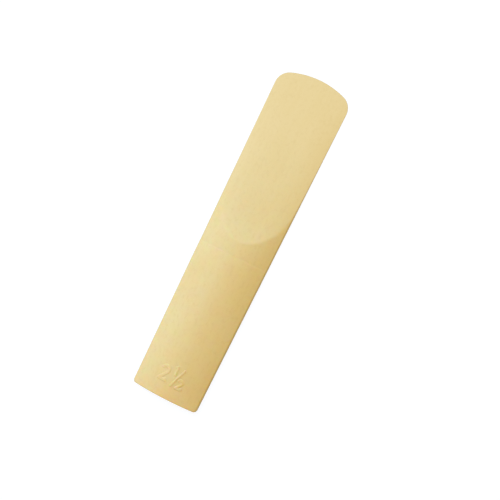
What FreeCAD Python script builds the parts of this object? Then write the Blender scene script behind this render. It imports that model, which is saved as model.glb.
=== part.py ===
import FreeCAD, Part
import math
import os

from FreeCAD import Vector

# A reed for an alto saxophone, moulded in one piece from straw-coloured resin.
# Its flat underside is called the table here. It lies on that, with the round back up and
# the thin tip towards +Y. While it is made, x is 0 on the middle line, y is 0 at the heel
# and z is 0 on the table. At the end the origin moves to the middle of the table.
# Lengths are in millimetres.

# Outline seen from above
length = 72.0
heel_width = 14.6
tip_width = 16.4  # between the straight sides, where they would reach the tip
heel_corner_radius = 0.6
tip_arc_rise = 2.0  # how far the tip's middle stands out from the ends of its arc
tip_corner_radius = 3.2

# Stock: the round back that the ligature holds
heel_thickness = 3.3
widest_edge = 0.6  # how high the round back would end above the table where the reed is widest
edge_rounding = 0.25

# Between stock and vamp the back dips a little, to a low step that runs straight across
dip_length = 4.8
dip_depth = 0.18
step_length = 0.3
step_height = 0.07
dip_bend_share = 0.4  # how much of the dip's length its bend takes, on each side of its middle
step_bend_share = 0.25  # how much of the step's length the bend at each of its ends takes
bark_length = 3.1  # from the foot of the step to the vamp, on the middle line

# Vamp: the long cut that thins towards the tip
vamp_length = 36.6
tip_thickness = 0.12
blade_rise = 1.43  # what the even part of the taper gains over the vamp's whole length
shoulder_power = 7.8  # the rest of the rise comes late, as this power of the distance
tip_crown = 0.06  # how far the rails lie below the middle line, at the tip
shoulder_crown = 1.07
rail_power = 3.3  # the vamp falls away from its middle line as this power of the distance
vamp_station_shares = (-0.02, 0.0, 0.06, 0.14, 0.24, 0.36, 0.48, 0.6, 0.7, 0.78, 0.85, 0.91, 0.96, 1.0, 1.04)
across_shares = (-1.0, -0.85, -0.7, -0.5, -0.3, 0.0, 0.3, 0.5, 0.7, 0.85, 1.0)

# Strength figure, raised on the stock near the heel: a digit and a fraction
figure_relief = 0.11
digit_left = -2.7  # from the middle line to the digit's left edge
digit_foot = 3.2  # from the heel to the digit's foot
digit_width = 2.0
digit_height = 3.4
digit_upturn = 0.26  # how far its foot turns up at the right
digit_stroke = 0.55
hook_angle = 155  # where the hook of a 2 starts, in degrees around the middle of its bow
upper_left = 0.08
upper_foot = 5.19
upper_height = 2.17
upper_flag = 0.25  # how far the flag of the 1 reaches back and down
lower_left = 1.52
lower_foot = 2.75
lower_width = 1.41
lower_height = 2.35
lower_upturn = 0.2
fraction_stroke = 0.43
slash_left = 0.57
slash_foot = 3.05
slash_run = 1.5
slash_rise = 3.85

# Shapes that only cut or trim reach this far past the reed
overrun = 0.25

# Two places nearer than this count as one
tolerance = 0.01

side_slope = (tip_width - heel_width) / 2 / length
side_angle = math.atan(side_slope)
tip_arc_radius = ((tip_width / 2) ** 2 + tip_arc_rise**2) / (2 * tip_arc_rise)
back_fall = heel_thickness - widest_edge
back_radius = ((tip_width / 2) ** 2 + back_fall**2) / (2 * back_fall)
back_axis_z = heel_thickness - back_radius
trim_half_width = tip_width / 2 + overrun

vamp_y = length - vamp_length
step_foot_y = vamp_y - bark_length
step_head_y = step_foot_y - step_length
dip_y = step_head_y - dip_length
step_head_z = heel_thickness - dip_depth
shoulder_z = step_head_z - step_height
late_rise = shoulder_z - tip_thickness - blade_rise
lowest_edge = widest_edge - dip_depth - step_height
rim_radius = min(edge_rounding, lowest_edge)


def mirrored(point):
    return Vector(-point.x, point.y, point.z)


def from_centre(centre, direction, radius):
    """The point at the radius from a centre, in the given direction."""
    return centre + Vector(direction).normalize() * radius


def outline_face():
    """The reed's outline on the table, as a face."""
    side_normal = Vector(math.cos(side_angle), -math.sin(side_angle), 0)
    heel_normal = Vector(0, -1, 0)

    def centre_x(y, radius):
        return heel_width / 2 + side_slope * y - radius / math.cos(side_angle)

    heel_centre = Vector(centre_x(heel_corner_radius, heel_corner_radius), heel_corner_radius, 0)
    heel_end = from_centre(heel_centre, heel_normal, heel_corner_radius)
    heel_middle = from_centre(heel_centre, heel_normal + side_normal, heel_corner_radius)
    side_start = from_centre(heel_centre, side_normal, heel_corner_radius)

    # The tip corner touches the side and, from inside, the tip arc
    arc_centre = Vector(0, length - tip_arc_radius, 0)
    centre_distance = tip_arc_radius - tip_corner_radius
    level_x = centre_x(arc_centre.y, tip_corner_radius)
    along = math.sqrt(centre_distance**2 * (1 + side_slope**2) - level_x**2) - level_x * side_slope
    rise = along / (1 + side_slope**2)
    corner_centre = Vector(level_x + side_slope * rise, arc_centre.y + rise, 0)
    tip_normal = (corner_centre - arc_centre).normalize()
    side_end = from_centre(corner_centre, side_normal, tip_corner_radius)
    corner_middle = from_centre(corner_centre, side_normal + tip_normal, tip_corner_radius)
    tip_start = from_centre(corner_centre, tip_normal, tip_corner_radius)
    tip_middle = Vector(0, length, 0)

    edges = [
        Part.Arc(heel_end, heel_middle, side_start),
        Part.LineSegment(side_start, side_end),
        Part.Arc(side_end, corner_middle, tip_start),
        Part.Arc(tip_start, tip_middle, mirrored(tip_start)),
        Part.Arc(mirrored(tip_start), mirrored(corner_middle), mirrored(side_end)),
        Part.LineSegment(mirrored(side_end), mirrored(side_start)),
        Part.Arc(mirrored(side_start), mirrored(heel_middle), mirrored(heel_end)),
        Part.LineSegment(mirrored(heel_end), heel_end),
    ]
    return Part.Face(Part.Wire([edge.toShape() for edge in edges]))


def rounded_path(corners, trims):
    """Straight runs joined by tangent arcs, each of which starts its trim length before its corner."""
    edges = []
    start = corners[0]
    for before, corner, after, trim in zip(corners, corners[1:], corners[2:], trims):
        incoming = (corner - before).normalize()
        outgoing = (after - corner).normalize()
        half_turn = incoming.getAngle(outgoing) / 2
        arc_start = corner - incoming * trim
        arc_middle = from_centre(corner, outgoing - incoming, trim * math.tan(half_turn / 2))
        arc_end = corner + outgoing * trim
        edges += [Part.LineSegment(start, arc_start), Part.Arc(arc_start, arc_middle, arc_end)]
        start = arc_end
    edges.append(Part.LineSegment(start, corners[-1]))
    return Part.Wire([edge.toShape() for edge in edges])


def crest_line():
    """The highest line of the back, from heel to tip."""
    corners = [
        Vector(0, -overrun, heel_thickness),
        Vector(0, step_head_y - dip_length / 2, heel_thickness),
        Vector(0, step_head_y, step_head_z),
        Vector(0, step_foot_y, shoulder_z),
        Vector(0, length + overrun, shoulder_z),
    ]
    dip_trim = dip_bend_share * dip_length
    step_trim = step_bend_share * step_length
    return rounded_path(corners, [dip_trim, step_trim, step_trim])


def back_section():
    """The round back's section, at the start of the crest line and wider than the reed."""
    y = -overrun
    edge_z = back_axis_z + math.sqrt(back_radius**2 - trim_half_width**2)
    low_z = edge_z - heel_thickness
    crest = Vector(0, y, heel_thickness)
    right = Vector(trim_half_width, y, edge_z)
    low_right = Vector(trim_half_width, y, low_z)
    edges = [
        Part.Arc(mirrored(right), crest, right),
        Part.LineSegment(right, low_right),
        Part.LineSegment(low_right, mirrored(low_right)),
        Part.LineSegment(mirrored(low_right), mirrored(right)),
    ]
    return Part.Wire([edge.toShape() for edge in edges])


def back():
    """All that lies under the back: its section moved along the crest line without turning."""
    sweep = Part.BRepOffsetAPI.MakePipeShell(crest_line())
    sweep.setTrihedronMode(Vector(0, 0, 0), Vector(0, 1, 0))
    sweep.add(back_section())
    sweep.build()
    sweep.makeSolid()
    return sweep.shape()


def vamp_z(x, from_tip):
    """Height of the vamp above the table."""
    share = max(from_tip, 0) / vamp_length
    middle_z = tip_thickness + blade_rise * share + late_rise * share**shoulder_power
    crown = tip_crown + (shoulder_crown - tip_crown) * share
    return middle_z - crown * (abs(x) / (tip_width / 2)) ** rail_power


def vamp_section(from_tip):
    """One section of the space above the vamp."""
    y = length - from_tip
    top_z = 2 * heel_thickness
    xs = [share * trim_half_width for share in across_shares]
    surface = Part.BSplineCurve()
    surface.interpolate([Vector(x, y, vamp_z(x, from_tip)) for x in xs])
    right = Vector(trim_half_width, y, vamp_z(trim_half_width, from_tip))
    top_right = Vector(trim_half_width, y, top_z)
    edges = [
        surface,
        Part.LineSegment(right, top_right),
        Part.LineSegment(top_right, mirrored(top_right)),
        Part.LineSegment(mirrored(top_right), mirrored(right)),
    ]
    return Part.Wire([edge.toShape() for edge in edges])


def space_above_vamp():
    sections = [vamp_section(share * vamp_length) for share in vamp_station_shares]
    return Part.makeLoft(sections, True)


def stroked(edges, stroke):
    """A face along a bent path, as wide as the stroke and round at the ends."""
    path = Part.Wire([edge.toShape() for edge in edges])
    return path.makeOffset2D(stroke / 2, fill=True)


def digit_two(width, height, upturn, stroke):
    """A 2 inside a box of the given width and height, with its corner at the origin."""
    corner = Vector(stroke / 2, stroke / 2, 0)
    foot_end = Vector(width - stroke / 2, stroke / 2, 0)
    foot_tip = foot_end + Vector(0, upturn, 0)
    bow_radius = (width - stroke) / 2
    bow_centre = Vector(width / 2, height - stroke / 2 - bow_radius, 0)
    to_bow = bow_centre - corner
    diagonal = math.sqrt(to_bow.Length**2 - bow_radius**2)
    diagonal_angle = math.atan2(to_bow.y, to_bow.x) - math.asin(bow_radius / to_bow.Length)
    bow_end = from_centre(corner, Vector(math.cos(diagonal_angle), math.sin(diagonal_angle), 0), diagonal)
    hook = math.radians(hook_angle)
    bow_start = from_centre(bow_centre, Vector(math.cos(hook), math.sin(hook), 0), bow_radius)
    bow_top = Vector(width / 2, height - stroke / 2, 0)
    edges = [
        Part.Arc(bow_start, bow_top, bow_end),
        Part.LineSegment(bow_end, corner),
        Part.LineSegment(corner, foot_end),
        Part.LineSegment(foot_end, foot_tip),
    ]
    return stroked(edges, stroke)


def digit_one(height, flag, stroke):
    """A 1 with its flag on the left, with the corner of its box at the origin."""
    stem_x = flag + stroke / 2
    head = Vector(stem_x, height - stroke / 2, 0)
    edges = [
        Part.LineSegment(head - Vector(flag, flag, 0), head),
        Part.LineSegment(head, Vector(stem_x, stroke / 2, 0)),
    ]
    return stroked(edges, stroke)


def slash(rise, run, stroke):
    """A straight bar that leans to the right, with the middle of its foot at the origin."""
    foot = Vector(0, 0, 0)
    head = Vector(run, rise, 0)
    across = (head - foot).normalize().cross(Vector(0, 0, 1)) * (stroke / 2)
    corners = [foot - across, foot + across, head + across, head - across, foot - across]
    return Part.Face(Part.makePolygon(corners))


def placed(face, left, foot):
    """The face moved to its place in the figure, and up into the stock."""
    face.translate(Vector(left, foot, widest_edge))
    return face


def strength_figure():
    """The raised digits: upright prisms, cut off a little above the round back."""
    faces = [
        placed(digit_two(digit_width, digit_height, digit_upturn, digit_stroke), digit_left, digit_foot),
        placed(digit_one(upper_height, upper_flag, fraction_stroke), upper_left, upper_foot),
        placed(digit_two(lower_width, lower_height, lower_upturn, fraction_stroke), lower_left, lower_foot),
        placed(slash(slash_rise, slash_run, fraction_stroke), slash_left, slash_foot),
    ]
    back_axis = Vector(0, 0, back_axis_z)
    raised_back = Part.makeCylinder(back_radius + figure_relief, dip_y, back_axis, Vector(0, 1, 0))
    return [face.extrude(Vector(0, 0, heel_thickness)).common(raised_back) for face in faces]


def is_rim(edge):
    """Whether an edge of the blank lies between its back and its sides."""
    box = edge.BoundBox
    on_table = box.ZMax < tolerance
    upright = box.XLength + box.YLength < tolerance
    across_back = box.YLength < tolerance and box.YMin > tolerance
    return not (on_table or upright or across_back)


def reed():
    blank = back().common(outline_face().extrude(Vector(0, 0, heel_thickness + overrun)))
    rim = [edge for edge in blank.Edges if is_rim(edge)]
    body = blank.makeFillet(rim_radius, rim).cut(space_above_vamp()).fuse(strength_figure())
    body.translate(Vector(0, -length / 2, 0))
    return body


def main():
    os.makedirs("parts", exist_ok=True)
    reed().exportStep("parts/reed.step")


main()
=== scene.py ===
import math
import bpy
import numpy as np
from mathutils import Matrix, Vector


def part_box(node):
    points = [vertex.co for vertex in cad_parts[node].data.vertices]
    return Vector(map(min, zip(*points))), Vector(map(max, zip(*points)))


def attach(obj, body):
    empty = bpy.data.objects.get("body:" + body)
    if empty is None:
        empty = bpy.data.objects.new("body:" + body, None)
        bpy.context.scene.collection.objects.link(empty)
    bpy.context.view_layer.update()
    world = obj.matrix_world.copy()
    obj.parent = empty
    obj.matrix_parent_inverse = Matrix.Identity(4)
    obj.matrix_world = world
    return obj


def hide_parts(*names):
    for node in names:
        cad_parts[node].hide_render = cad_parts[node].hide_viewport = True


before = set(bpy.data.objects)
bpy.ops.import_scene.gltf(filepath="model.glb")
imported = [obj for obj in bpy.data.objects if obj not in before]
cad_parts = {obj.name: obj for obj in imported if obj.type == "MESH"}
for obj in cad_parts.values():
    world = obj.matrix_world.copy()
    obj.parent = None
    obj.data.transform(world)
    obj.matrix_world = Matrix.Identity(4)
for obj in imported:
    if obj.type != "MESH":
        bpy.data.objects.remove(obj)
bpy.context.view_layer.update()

# A reed for an alto saxophone lies on a white table with its round back up. One dense mesh stands
# for the whole reed. While it is made, lengths are in millimetres, x is 0 on the middle line,
# y is 0 at the heel and z is 0 on the flat underside.
mm = 0.001

# Sizes of the part's outline and stock
reed_low, reed_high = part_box("reed")
length = (reed_high.y - reed_low.y) / mm
heel_width = 14.6
tip_width = 16.4  # between the straight sides, where they would reach the tip
heel_corner_radius = 0.6
tip_arc_rise = 2.0  # how far the tip's middle stands out from the ends of its arc
tip_corner_radius = 3.2
heel_thickness = 3.3
widest_edge = 0.6  # how high the round back would end where the reed is widest

# The dip and the low step across the back
dip_length = 4.8
dip_depth = 0.18
step_length = 0.3
step_height = 0.07
dip_bend = 1.92  # how far the dip's bend reaches, on each side of its middle
step_bend = 0.075  # how far the bend at each end of the step reaches
bark_length = 3.1  # from the foot of the step to the vamp, on the middle line

# Vamp
vamp_length = 36.6
tip_thickness = 0.12
blade_rise = 1.43  # what the even part of the taper gains over the vamp's whole length
shoulder_power = 7.8  # the rest of the rise comes late, as this power of the distance
tip_crown = 0.06  # how far the rails lie below the middle line, at the tip
shoulder_crown = 1.07
rail_power = 3.3  # the vamp falls away from its middle line as this power of the distance
shoulder_blend = 0.12  # how near in height vamp and stock come before they run into each other

# Strength figure
figure_relief = 0.11
figure_inner_edge = 0.03  # its flank runs from this far inside the stroke
figure_outer_edge = 0.07  # to this far outside
digit_stroke = 0.55
fraction_stroke = 0.43
hook_angle = 155  # where the hook of a 2 starts, in degrees around the middle of its bow

# Rounded rims
rim_inset = 0.27  # from the wall to where the rim's rounding starts
rim_inset_share = 0.4  # of the wall's height, where the wall is low
rim_drop_share = 0.45  # of that height, the most that the rounding takes
rim_steps = 7
wall_steps = 4
foot_radius = 0.05
foot_radius_share = 0.25
foot_steps = 4
underside_inset = 0.12
slope_reach = 0.01  # the slope of the top is measured over this distance

# How many points the finely drawn outline has on each of its stretches
heel_points = 240
heel_corner_points = 61
side_points = 1200
tip_corner_points = 81
tip_arc_points = 240
bow_points = 25

side_slope = (tip_width - heel_width) / 2 / length
back_fall = heel_thickness - widest_edge
back_radius = ((tip_width / 2) ** 2 + back_fall**2) / (2 * back_fall)
vamp_y = length - vamp_length
step_foot_y = vamp_y - bark_length
step_head_y = step_foot_y - step_length
dip_y = step_head_y - dip_length
shoulder_z = heel_thickness - dip_depth - step_height
late_rise = shoulder_z - tip_thickness - blade_rise


def smoothstep(value, low, high):
    share = np.clip((value - low) / (high - low), 0, 1)
    return share * share * (3 - 2 * share)


def bent_ramp(y, corner, bend):
    """0 before the corner and y - corner after it, with the change spread over the bend on each side."""
    share = np.clip((y - corner + bend) / (2 * bend), 0, 1)
    return np.where(y < corner + bend, bend * share**2, y - corner)


def crest_z(y):
    """Height of the back's middle line."""
    dip_slope = dip_depth / (dip_length / 2)
    step_slope = step_height / step_length
    dip_corner = step_head_y - dip_length / 2
    return (
        heel_thickness
        - dip_slope * bent_ramp(y, dip_corner, dip_bend)
        + (dip_slope - step_slope) * bent_ramp(y, step_head_y, step_bend)
        + step_slope * bent_ramp(y, step_foot_y, step_bend)
    )


def stock_z(x, y):
    """Height of the round back."""
    return crest_z(y) - (back_radius - np.sqrt(back_radius**2 - x**2))


def vamp_z(x, y):
    """Height of the vamp."""
    share = np.maximum(length - y, 0) / vamp_length
    middle_z = tip_thickness + blade_rise * share + late_rise * share**shoulder_power
    crown = tip_crown + (shoulder_crown - tip_crown) * share
    return middle_z - crown * (np.abs(x) / (tip_width / 2)) ** rail_power


def top_z(x, y):
    """Height of the reed without its figure: the lower of stock and vamp, blended where they meet."""
    stock = stock_z(x, y)
    vamp = vamp_z(x, y)
    nearness = np.maximum(shoulder_blend - np.abs(stock - vamp), 0) / shoulder_blend
    return np.minimum(stock, vamp) - nearness**2 * shoulder_blend / 4


# The outline

def arc_points(centre, radius, start, end, count):
    """Points and outward normals along an arc, between two angles."""
    angles = np.linspace(start, end, count)
    normals = np.column_stack([np.cos(angles), np.sin(angles)])
    return centre + radius * normals, normals


def line_points(start, end, normal, count):
    shares = np.linspace(0, 1, count)[:, None]
    return start + (end - start) * shares, np.tile(normal, (count, 1))


def half_outline():
    """The outline's right half from the heel's middle to the tip's, and its normals.

    The last two results say where in it the middles of its corners are.
    """
    side_angle = math.atan(side_slope)

    def centre_x(y, radius):
        return heel_width / 2 + side_slope * y - radius / math.cos(side_angle)

    heel_centre = np.array([centre_x(heel_corner_radius, heel_corner_radius), heel_corner_radius])
    arc_radius = ((tip_width / 2) ** 2 + tip_arc_rise**2) / (2 * tip_arc_rise)
    arc_centre = np.array([0, length - arc_radius])
    centre_distance = arc_radius - tip_corner_radius
    level_x = centre_x(arc_centre[1], tip_corner_radius)
    along = math.sqrt(centre_distance**2 * (1 + side_slope**2) - level_x**2) - level_x * side_slope
    rise = along / (1 + side_slope**2)
    corner_centre = np.array([level_x + side_slope * rise, arc_centre[1] + rise])
    tip_angle = math.atan2(*(corner_centre - arc_centre)[::-1])

    heel_corner = arc_points(
        heel_centre, heel_corner_radius, -math.pi / 2, -side_angle, heel_corner_points
    )
    tip_corner = arc_points(corner_centre, tip_corner_radius, -side_angle, tip_angle, tip_corner_points)
    runs = [
        line_points(np.zeros(2), heel_corner[0][0], np.array([0, -1]), heel_points),
        heel_corner,
        line_points(heel_corner[0][-1], tip_corner[0][0], heel_corner[1][-1], side_points),
        tip_corner,
        arc_points(arc_centre, arc_radius, tip_angle, math.pi / 2, tip_arc_points),
    ]
    points = np.vstack([run[0][:-1] for run in runs] + [runs[-1][0][-1:]])
    normals = np.vstack([run[1][:-1] for run in runs] + [runs[-1][1][-1:]])
    starts = np.cumsum([0] + [len(run[0]) - 1 for run in runs])
    heel_middle = (starts[1] + starts[2]) // 2
    tip_middle = (starts[3] + starts[4]) // 2
    return points, normals, heel_middle, tip_middle


# The top ends at a ring a little inside the outline, and the rim lies between the two. The top's
# heel, side and tip edges each follow their own part of the ring.
outline, outline_normals, heel_middle, tip_middle = half_outline()
wall_top = top_z(outline[:, 0], outline[:, 1])
insets = np.minimum(rim_inset, rim_inset_share * wall_top)
ring = outline - outline_normals * insets[:, None]
ring_places = np.arange(len(ring))
heel_part = slice(0, heel_middle + 1)
side_part = slice(heel_middle, tip_middle + 1)
tip_part = slice(tip_middle, len(ring))
first_y = ring[heel_middle, 1]
last_y = ring[tip_middle, 1]


# The strength figure, as the distance from the middle lines of its strokes

def digit_two(left, foot, width, height, upturn, stroke):
    corner = np.array([stroke / 2, stroke / 2])
    foot_end = np.array([width - stroke / 2, stroke / 2])
    foot_tip = foot_end + (0, upturn)
    bow_radius = (width - stroke) / 2
    bow_centre = np.array([width / 2, height - stroke / 2 - bow_radius])
    to_bow = bow_centre - corner
    distance = np.linalg.norm(to_bow)
    diagonal = math.sqrt(distance**2 - bow_radius**2)
    angle = math.atan2(to_bow[1], to_bow[0]) - math.asin(bow_radius / distance)
    bow_end = corner + diagonal * np.array([math.cos(angle), math.sin(angle)])
    end_angle = math.atan2(*(bow_end - bow_centre)[::-1])
    bow = arc_points(bow_centre, bow_radius, math.radians(hook_angle), end_angle, bow_points)[0]
    return np.vstack([bow, corner, foot_end, foot_tip]) + (left, foot), stroke


def digit_one(left, foot, height, flag, stroke):
    stem_x = flag + stroke / 2
    head_y = height - stroke / 2
    path = np.array([(stem_x - flag, head_y - flag), (stem_x, head_y), (stem_x, stroke / 2)])
    return path + (left, foot), stroke


def slash(left, foot, run, rise, stroke):
    return np.array([(left, foot), (left + run, foot + rise)]), stroke


strokes = [
    digit_two(left=-2.7, foot=3.2, width=2.0, height=3.4, upturn=0.26, stroke=digit_stroke),
    digit_one(left=0.08, foot=5.19, height=2.17, flag=0.25, stroke=fraction_stroke),
    digit_two(left=1.52, foot=2.75, width=1.41, height=2.35, upturn=0.2, stroke=fraction_stroke),
    slash(left=0.57, foot=3.05, run=1.5, rise=3.85, stroke=fraction_stroke),
]

# The whole figure lies between these two
figure_low_y = 2.5
figure_high_y = 7.5


def figure_z(x, y):
    """How far the figure stands above the stock."""
    near = (y > figure_low_y) & (y < figure_high_y)
    places = np.column_stack([x[near], y[near]])
    outside = np.full(len(places), np.inf)
    for path, stroke in strokes:
        for start, end in zip(path, path[1:]):
            run = end - start
            share = np.clip((places - start) @ run / (run @ run), 0, 1)
            away = np.linalg.norm(places - start - share[:, None] * run, axis=1)
            outside = np.minimum(outside, away - stroke / 2)
    relief = np.zeros_like(x)
    relief[near] = figure_relief * (1 - smoothstep(outside, -figure_inner_edge, figure_outer_edge))
    return relief


# The mesh: a grid over the top, then rims, walls and the underside around it

# The top's grid is fine over the figure, the step and the shoulder. Each run of its columns or rows
# has its end and the spacing within it. Columns are in shares of the reed's half width.
column_run_shares = ((0, 0), (0.42, 0.005), (0.62, 0.015), (0.95, 0.03), (1, 0.0125))
figure_spacing = 0.04
step_spacing = 0.03
shoulder_spacing = 0.18
near_spacing = 0.2
wide_spacing = 0.25
plain_spacing = 0.6
figure_margin = 0.1
dip_margin = 1
step_margin = 0.2
shoulder_margin = 1
shoulder_reach = 9.1  # from the shoulder's middle to where it meets the sides
tip_margin = 4
row_runs = (
    (first_y, 0),
    (figure_low_y + figure_margin, wide_spacing),
    (figure_high_y, figure_spacing),
    (dip_y - dip_margin, plain_spacing),
    (step_head_y - step_margin, wide_spacing),
    (step_foot_y + step_margin, step_spacing),
    (vamp_y - shoulder_margin, near_spacing),
    (vamp_y + shoulder_reach, shoulder_spacing),
    (length - tip_margin, plain_spacing),
    (last_y, near_spacing),
)

# Near the heel and the tip, up to this far from them, the rows bend to follow them
heel_bend_reach = 2
tip_bend_reach = 25


def spaced(runs):
    """Values from run to run, starting at the first run's end."""
    values = [runs[0][0]]
    for end, spacing in runs[1:]:
        count = max(1, round((end - values[-1]) / spacing))
        values += list(np.linspace(values[-1], end, count + 1)[1:])
    return np.array(values)


def grid_places():
    """x and y of the top's grid, and y of its rows at the sides."""
    right_columns = spaced(column_run_shares)
    columns = np.concatenate([-right_columns[:0:-1], right_columns])
    rows = spaced(row_runs)
    half_widths = np.interp(rows, ring[side_part, 1], ring[side_part, 0])
    heel_xs = ring[heel_part, 0]
    heel_ys = ring[heel_part, 1]
    heel_bend = np.interp(np.abs(columns) * half_widths[0], heel_xs, heel_ys) - first_y
    tip_xs = ring[tip_part, 0][::-1]
    tip_ys = ring[tip_part, 1][::-1]
    tip_bend = np.interp(np.abs(columns) * half_widths[-1], tip_xs, tip_ys) - last_y
    heel_share = 1 - smoothstep(rows, first_y, first_y + heel_bend_reach)
    tip_share = smoothstep(rows, last_y - tip_bend_reach, last_y)
    x = half_widths[:, None] * columns[None, :]
    y = rows[:, None] + heel_share[:, None] * heel_bend + tip_share[:, None] * tip_bend
    return x, y, rows


def boundary(row_count, column_count):
    """Index pairs of the grid's outer vertices, anticlockwise from the heel's left corner."""
    last_row = row_count - 1
    last_column = column_count - 1
    heel = [(0, column) for column in range(last_column)]
    right = [(row, last_column) for row in range(last_row)]
    tip = [(last_row, column) for column in range(last_column, 0, -1)]
    left = [(row, 0) for row in range(last_row, 0, -1)]
    return heel + right + tip + left


def outline_places(x, rows):
    """Where each boundary vertex is along the half outline."""
    row_count, column_count = x.shape
    by_row = np.interp(rows, ring[side_part, 1], ring_places[side_part])
    by_heel = np.interp(np.abs(x[0]), ring[heel_part, 0], ring_places[heel_part])
    by_tip = np.interp(np.abs(x[-1]), ring[tip_part, 0][::-1], ring_places[tip_part][::-1])
    places = []
    for row, column in boundary(row_count, column_count):
        if column in (0, column_count - 1):
            places.append(by_row[row])
        elif row == 0:
            places.append(by_heel[column])
        else:
            places.append(by_tip[column])
    return np.array(places)


def edge_rings(inner, inner_z, outer, normal, inset):
    """Rings of vertices from the top's edge over the rim, down the wall and onto the underside.

    Each has its places, its heights and how much of the walls' painted shade it has.
    """
    further = inner + normal * slope_reach
    slope = (top_z(further[:, 0], further[:, 1]) - inner_z) / slope_reach
    corner_z = inner_z + slope * inset
    drop = np.minimum(np.hypot(inset, slope * inset), rim_drop_share * corner_z)
    wall_head = corner_z - drop
    foot = np.minimum(foot_radius, foot_radius_share * corner_z)
    weight = np.cos((math.pi / 2 + np.arctan(slope)) / 2)
    rings = []
    for share in np.linspace(0, 1, rim_steps + 1)[1:]:
        start = (1 - share) ** 2
        middle = 2 * share * (1 - share) * weight
        end = share**2
        total = start + middle + end
        inward = start * inset / total
        height = (start * inner_z + middle * corner_z + end * wall_head) / total
        rings.append((outer - normal * inward[:, None], height, share))
    for share in np.linspace(0, 1, wall_steps + 1)[1:]:
        rings.append((outer, wall_head + (foot - wall_head) * share, 1))
    for angle in np.linspace(0, math.pi / 2, foot_steps + 1)[1:]:
        inward = foot * (1 - math.cos(angle))
        height = foot * (1 - math.sin(angle))
        rings.append((outer - normal * inward[:, None], height, 1 - angle / (math.pi / 2)))
    rings.append((outer - normal * (foot + underside_inset)[:, None], np.zeros(len(outer)), 0))
    return rings


def underside_faces(ring, row_count, column_count):
    """A strip from side to side for each row, and one face at each end."""
    heel_ring = ring[:column_count]
    right_ring = ring[column_count - 1:column_count - 1 + row_count]
    tip_ring = ring[column_count + row_count - 2:2 * column_count + row_count - 2]
    left_ring = np.append(ring[2 * column_count + row_count - 3:], ring[0])[::-1]
    faces = [tuple(heel_ring[::-1]), tuple(tip_ring[::-1])]
    for row in range(row_count - 1):
        faces.append((left_ring[row], left_ring[row + 1], right_ring[row + 1], right_ring[row]))
    return faces


def reed_mesh():
    """The whole reed in metres, with its thickness and its share of wall, which carries the walls' painted
    shade, at each vertex.
    """
    x, y, rows = grid_places()
    row_count, column_count = x.shape
    loop = boundary(row_count, column_count)
    loop_rows = np.array([row for row, column in loop])
    loop_columns = np.array([column for row, column in loop])
    side = np.sign(x[loop_rows, loop_columns])
    places = outline_places(x, rows)

    def along_outline(values):
        return np.interp(places, ring_places, values)

    outer = np.column_stack([side * along_outline(outline[:, 0]), along_outline(outline[:, 1])])
    normal_x = side * along_outline(outline_normals[:, 0])
    normal = np.column_stack([normal_x, along_outline(outline_normals[:, 1])])
    normal /= np.linalg.norm(normal, axis=1)[:, None]
    inset = along_outline(insets)
    inner = outer - normal * inset[:, None]
    x[loop_rows, loop_columns] = inner[:, 0]
    y[loop_rows, loop_columns] = inner[:, 1]

    # Grid over the top
    body_z = top_z(x, y)
    vertices = [np.column_stack([x.ravel(), y.ravel(), (body_z + figure_z(x, y)).ravel()])]
    thickness = [body_z.ravel()]
    wall = [np.zeros(x.size)]
    index = np.arange(row_count * column_count).reshape(row_count, column_count)
    faces = [
        (index[row, column], index[row, column + 1], index[row + 1, column + 1], index[row + 1, column])
        for row in range(row_count - 1)
        for column in range(column_count - 1)
    ]

    # Rings around it
    inner_z = top_z(inner[:, 0], inner[:, 1])
    rings = edge_rings(inner, inner_z, outer, normal, inset)
    ring_index = index[loop_rows, loop_columns]
    count = len(loop)
    total = row_count * column_count
    middle_thickness = top_z(np.zeros(count), outer[:, 1])
    for number, (ring_xy, height, wall_shade_share) in enumerate(rings):
        vertices.append(np.column_stack([ring_xy, height]))
        on_underside = number >= len(rings) - 2
        thickness.append(middle_thickness if on_underside else inner_z)
        wall.append(np.full(count, wall_shade_share))
        below = total + np.arange(count)
        total += count
        for here in range(count):
            after = (here + 1) % count
            faces.append((ring_index[here], below[here], below[after], ring_index[after]))
        ring_index = below

    faces += underside_faces(ring_index, row_count, column_count)
    points = np.vstack(vertices) - (0, length / 2, 0)
    mesh = bpy.data.meshes.new("moulded_reed")
    whole_faces = [tuple(int(place) for place in face) for face in faces]
    mesh.from_pydata((points * mm).tolist(), [], whole_faces)
    for name, values in (("thickness", thickness), ("wall", wall)):
        attribute = mesh.attributes.new(name, "FLOAT", "POINT")
        attribute.data.foreach_set("value", np.concatenate(values).astype(np.float32))
    mesh.shade_smooth()
    mesh.validate()
    return mesh


# Material

def srgb(red, green, blue):
    """A colour written in 8-bit sRGB, as the linear values that a shader takes."""
    shares = [value / 255 for value in (red, green, blue)]
    return tuple(s / 12.92 if s <= 0.04045 else ((s + 0.055) / 1.055) ** 2.4 for s in shares) + (1,)


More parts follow.
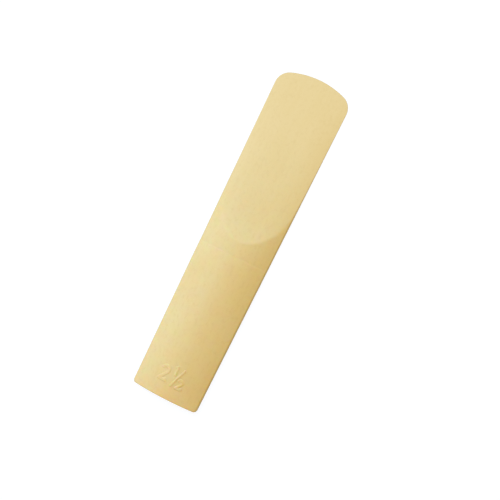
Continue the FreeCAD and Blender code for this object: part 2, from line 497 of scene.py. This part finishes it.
class Nodes:
    """Adds and joins nodes of one tree."""

    def __init__(self, tree):
        self.tree = tree
        self.tree.nodes.clear()

    def add(self, kind, **settings):
        node = self.tree.nodes.new(kind)
        for name, value in settings.items():
            setattr(node, name, value)
        return node

    def join(self, output, target):
        self.tree.links.new(output, target)

    def noise(self, scales, detail=2.0, roughness=0.5):
        """Noise over the piece, with its own scale (per metre) along each axis."""
        coordinates = self.add("ShaderNodeTexCoord")
        mapping = self.add("ShaderNodeMapping")
        mapping.inputs["Scale"].default_value = scales
        noise = self.add("ShaderNodeTexNoise")
        noise.inputs["Scale"].default_value = 1
        noise.inputs["Detail"].default_value = detail
        noise.inputs["Roughness"].default_value = roughness
        self.join(coordinates.outputs["Object"], mapping.inputs["Vector"])
        self.join(mapping.outputs["Vector"], noise.inputs["Vector"])
        return noise.outputs["Fac"]

    def mapped(self, value, low, high, new_low, new_high, interpolation="LINEAR"):
        node = self.add("ShaderNodeMapRange", interpolation_type=interpolation)
        node.inputs["From Min"].default_value = low
        node.inputs["From Max"].default_value = high
        node.inputs["To Min"].default_value = new_low
        node.inputs["To Max"].default_value = new_high
        self.join(value, node.inputs["Value"])
        return node.outputs["Result"]

    def math(self, operation, first, second):
        node = self.add("ShaderNodeMath", operation=operation)
        for socket, value in zip(node.inputs, (first, second)):
            if isinstance(value, (int, float)):
                socket.default_value = value
            else:
                self.join(value, socket)
        return node.outputs[0]

    def blend(self, share, first, second):
        """Mix of two colours."""
        node = self.add("ShaderNodeMix", data_type="RGBA")
        self.join(share, node.inputs["Factor"])
        for name, value in (("A", first), ("B", second)):
            socket = [s for s in node.inputs if s.name == name and s.type == "RGBA"][0]
            if isinstance(value, tuple):
                socket.default_value = value
            else:
                self.join(value, socket)
        return [s for s in node.outputs if s.type == "RGBA"][0]


# Colours of the resin, written as 8-bit sRGB: where it is thin and thick, in its clouds, along its
# lines of flow and in its specks, and the painted shade on its walls
thin_colour = srgb(231, 208, 149)
thick_colour = srgb(231, 214, 160)
cloud_colour = srgb(229, 206, 144)
flow_colour = srgb(240, 222, 170)
speck_colour = srgb(216, 190, 128)
# Painted shade: the walls are darkened towards this colour, though the resin there is the same as on top
wall_shade_colour = srgb(203, 184, 137)

# How much of each pattern's colour shows at most
cloud_strength = 0.8
flow_strength = 0.12
speck_strength = 0.3
wall_shade_strength = 0.9

# How fine each pattern is along x, y and z, per metre
cloud_grain = (130, 90, 130)
flow_grain = (1100, 26, 900)
speck_grain = (1500, 1100, 1500)
gloss_grain = (420, 300, 420)
skin_grain = (5200, 5200, 5200)
lapping_grain = (9000, 260, 9000)

# How much each pattern has of the relief's height, and how much glossier the lapped underside is
skin_share = 0.6
flow_relief_share = 0.25
lapping_share = 0.8
relief_height = 0.012 * mm
lapped_gloss = 0.1

# Thicknesses in millimetres between which the colour changes and the resin lets light in
thin = 0.2
clear = 0.5
thick = 2.2
most_depth = 0.9  # share of the light that enters the thick resin


def resin():
    material = bpy.data.materials.new("straw_resin")
    material.use_nodes = True
    nodes = Nodes(material.node_tree)
    output = nodes.add("ShaderNodeOutputMaterial")
    surface = nodes.add("ShaderNodeBsdfPrincipled")
    nodes.join(surface.outputs["BSDF"], output.inputs["Surface"])

    # A little warmer where the reed is thin, with cloudy patches, faint lines of flow along it,
    # fine specks, and painted shade that darkens the walls
    thickness = nodes.add("ShaderNodeAttribute", attribute_name="thickness")
    thickness_share = nodes.mapped(thickness.outputs["Fac"], thin, thick, 0, 1, interpolation="SMOOTHSTEP")
    body_colour = nodes.blend(thickness_share, thin_colour, thick_colour)
    clouds = nodes.noise(cloud_grain, detail=3)
    cloud_share = nodes.mapped(clouds, low=0.3, high=0.7, new_low=0, new_high=cloud_strength)
    clouded = nodes.blend(cloud_share, body_colour, cloud_colour)
    flow = nodes.noise(flow_grain, detail=3)
    flow_share = nodes.mapped(flow, low=0.35, high=0.7, new_low=0, new_high=flow_strength)
    flowing = nodes.blend(flow_share, clouded, flow_colour)
    specks = nodes.noise(speck_grain, detail=3, roughness=0.65)
    speck_share = nodes.mapped(specks, low=0.5, high=0.75, new_low=0, new_high=speck_strength)
    speckled = nodes.blend(speck_share, flowing, speck_colour)
    # Painted shade darkens the walls
    wall = nodes.add("ShaderNodeAttribute", attribute_name="wall")
    wall_shade_share = nodes.mapped(wall.outputs["Fac"], low=0, high=0.8, new_low=0, new_high=wall_shade_strength)
    wall_shaded = nodes.blend(wall_shade_share, speckled, wall_shade_colour)
    nodes.join(wall_shaded, surface.inputs["Base Color"])

    # Satin moulded skin above, and a finer lapped finish on the flat underside
    geometry = nodes.add("ShaderNodeNewGeometry")
    split = nodes.add("ShaderNodeSeparateXYZ")
    nodes.join(geometry.outputs["Normal"], split.inputs["Vector"])
    underside = nodes.mapped(split.outputs["Z"], low=-0.98, high=-0.6, new_low=1, new_high=0)
    gloss = nodes.noise(gloss_grain, detail=3)
    patchy = nodes.mapped(gloss, low=0.25, high=0.75, new_low=0.52, new_high=0.62)
    roughness = nodes.math("SUBTRACT", patchy, nodes.math("MULTIPLY", underside, lapped_gloss))
    nodes.join(roughness, surface.inputs["Roughness"])

    skin = nodes.noise(skin_grain, detail=2)
    lapping = nodes.noise(lapping_grain, detail=2)
    skin_relief = nodes.math("MULTIPLY", skin, skin_share)
    flow_relief = nodes.math("MULTIPLY", flow, flow_relief_share)
    lapped = nodes.math("MULTIPLY", nodes.math("MULTIPLY", lapping, underside), lapping_share)
    height = nodes.math("ADD", nodes.math("ADD", skin_relief, flow_relief), lapped)
    bump = nodes.add("ShaderNodeBump")
    bump.inputs["Strength"].default_value = 0.35
    bump.inputs["Distance"].default_value = relief_height
    nodes.join(height, bump.inputs["Height"])
    nodes.join(bump.outputs["Normal"], surface.inputs["Normal"])

    surface.inputs["IOR"].default_value = 1.46
    surface.inputs["Specular IOR Level"].default_value = 0.3
    depth = nodes.mapped(
        thickness.outputs["Fac"], clear, thick, 0, most_depth, interpolation="SMOOTHSTEP"
    )
    nodes.join(depth, surface.inputs["Subsurface Weight"])
    surface.inputs["Subsurface Radius"].default_value = (1.0, 0.4, 0.15)
    surface.inputs["Subsurface Scale"].default_value = 2.0 * mm
    return material


reed = bpy.data.objects.new("reed_body", reed_mesh())
reed.data.materials.append(resin())
bpy.context.scene.collection.objects.link(reed)
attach(reed, "root")
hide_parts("reed")


# Table top, light and camera

# The share of the light that comes from all round. One broad lamp adds the rest, so that the two
# together are white on a level surface.
ambient_share = 0.67
ambient_colour = (1.0, 0.73, 0.21)
lamp_colour = tuple(1 - ambient_share * part for part in ambient_colour)

# To the camera the table is this white, and so is what lies past it. The share of it that is
# scattered light is small, so that the reed's shadow is faint.
far_white = 0.985
faint_share = 0.13
table_colour = srgb(231, 231, 231)
table_size = 4.0
table_gap = 0.02 * mm


def background_rays(nodes):
    """1 for rays that see the background from the camera, in a reflection or through glass."""
    path = nodes.add("ShaderNodeLightPath")
    seen = nodes.math("MAXIMUM", path.outputs["Is Camera Ray"], path.outputs["Is Glossy Ray"])
    return nodes.math("MAXIMUM", seen, path.outputs["Is Transmission Ray"])


def white_table():
    """A matt white table. To the camera it also glows, so that it is white but keeps a faint shadow."""
    material = bpy.data.materials.new("white_table")
    material.use_nodes = True
    nodes = Nodes(material.node_tree)
    output = nodes.add("ShaderNodeOutputMaterial")
    matt = nodes.add("ShaderNodeBsdfDiffuse")
    matt.inputs["Color"].default_value = table_colour
    faint = nodes.add("ShaderNodeBsdfDiffuse")
    faint.inputs["Color"].default_value = (faint_share, faint_share, faint_share, 1)
    glow = nodes.add("ShaderNodeEmission")
    far_glow = [far_white - faint_share * ambient_share * part for part in ambient_colour]
    glow.inputs["Color"].default_value = (*far_glow, 1)
    lit = nodes.add("ShaderNodeAddShader")
    nodes.join(faint.outputs[0], lit.inputs[0])
    nodes.join(glow.outputs[0], lit.inputs[1])
    mix = nodes.add("ShaderNodeMixShader")
    nodes.join(background_rays(nodes), mix.inputs[0])
    nodes.join(matt.outputs[0], mix.inputs[1])
    nodes.join(lit.outputs[0], mix.inputs[2])
    nodes.join(mix.outputs[0], output.inputs["Surface"])
    return material


bpy.ops.mesh.primitive_plane_add(size=table_size, location=(0, 0, -table_gap))
table = bpy.context.object
table.name = "table_top"
table.data.materials.append(white_table())

world = bpy.data.worlds.new("studio")
bpy.context.scene.world = world
world.use_nodes = True
world_nodes = Nodes(world.node_tree)
world_output = world_nodes.add("ShaderNodeOutputWorld")
white = world_nodes.add("ShaderNodeBackground")
white.inputs["Color"].default_value = (far_white, far_white, far_white, 1)
ambient = world_nodes.add("ShaderNodeBackground")
ambient.inputs["Color"].default_value = (*ambient_colour, 1)
ambient.inputs["Strength"].default_value = ambient_share
world_mix = world_nodes.add("ShaderNodeMixShader")
world_nodes.join(background_rays(world_nodes), world_mix.inputs[0])
world_nodes.join(ambient.outputs[0], world_mix.inputs[1])
world_nodes.join(white.outputs[0], world_mix.inputs[2])
world_nodes.join(world_mix.outputs[0], world_output.inputs["Surface"])

# The lamp stands to the reed's left, past the shoulder. Its power gives a level surface the rest
# of the light that shows its colour as written.
lamp_direction = Vector((-0.7, 0.44, 1)).normalized()
lamp_distance = 0.5
lamp_width = 0.22
lamp_data = bpy.data.lights.new("key", "AREA")
lamp_data.shape = "DISK"
lamp_data.size = lamp_width
lamp_data.color = lamp_colour
lamp_data.energy = (math.pi * lamp_distance) ** 2 / lamp_direction.z
lamp = bpy.data.objects.new("key", lamp_data)
lamp.location = lamp_direction * lamp_distance
lamp.rotation_mode = "QUATERNION"
lamp.rotation_quaternion = lamp_direction.to_track_quat("Z", "Y")
bpy.context.scene.collection.objects.link(lamp)

# The camera stands a little to the reed's right, turned so that the tip points up and right
camera_place = Vector((58.32, 10.29, 300.0))
camera_target = Vector((2.509, -1.255, 0))
camera_roll = 0.4619
pixels_per_mm = 4.9007
picture_width = 500
sensor_width = 36
nearest_view = 0.01
furthest_view = 10
forward = (camera_target - camera_place).normalized()
sideways = forward.cross(Vector((-math.sin(camera_roll), math.cos(camera_roll), 0))).normalized()
upwards = sideways.cross(forward)
camera_data = bpy.data.cameras.new("camera")
camera_data.sensor_width = sensor_width
focal_pixels = (camera_target - camera_place).length * pixels_per_mm
camera_data.lens = sensor_width * focal_pixels / picture_width
camera_data.clip_start = nearest_view
camera_data.clip_end = furthest_view
camera = bpy.data.objects.new("camera", camera_data)
turn = Matrix((sideways, upwards, -forward)).transposed()
camera.matrix_world = Matrix.Translation(camera_place * mm) @ turn.to_4x4()
bpy.context.scene.collection.objects.link(camera)
bpy.context.scene.camera = camera

bpy.context.scene.view_settings.view_transform = "Standard"
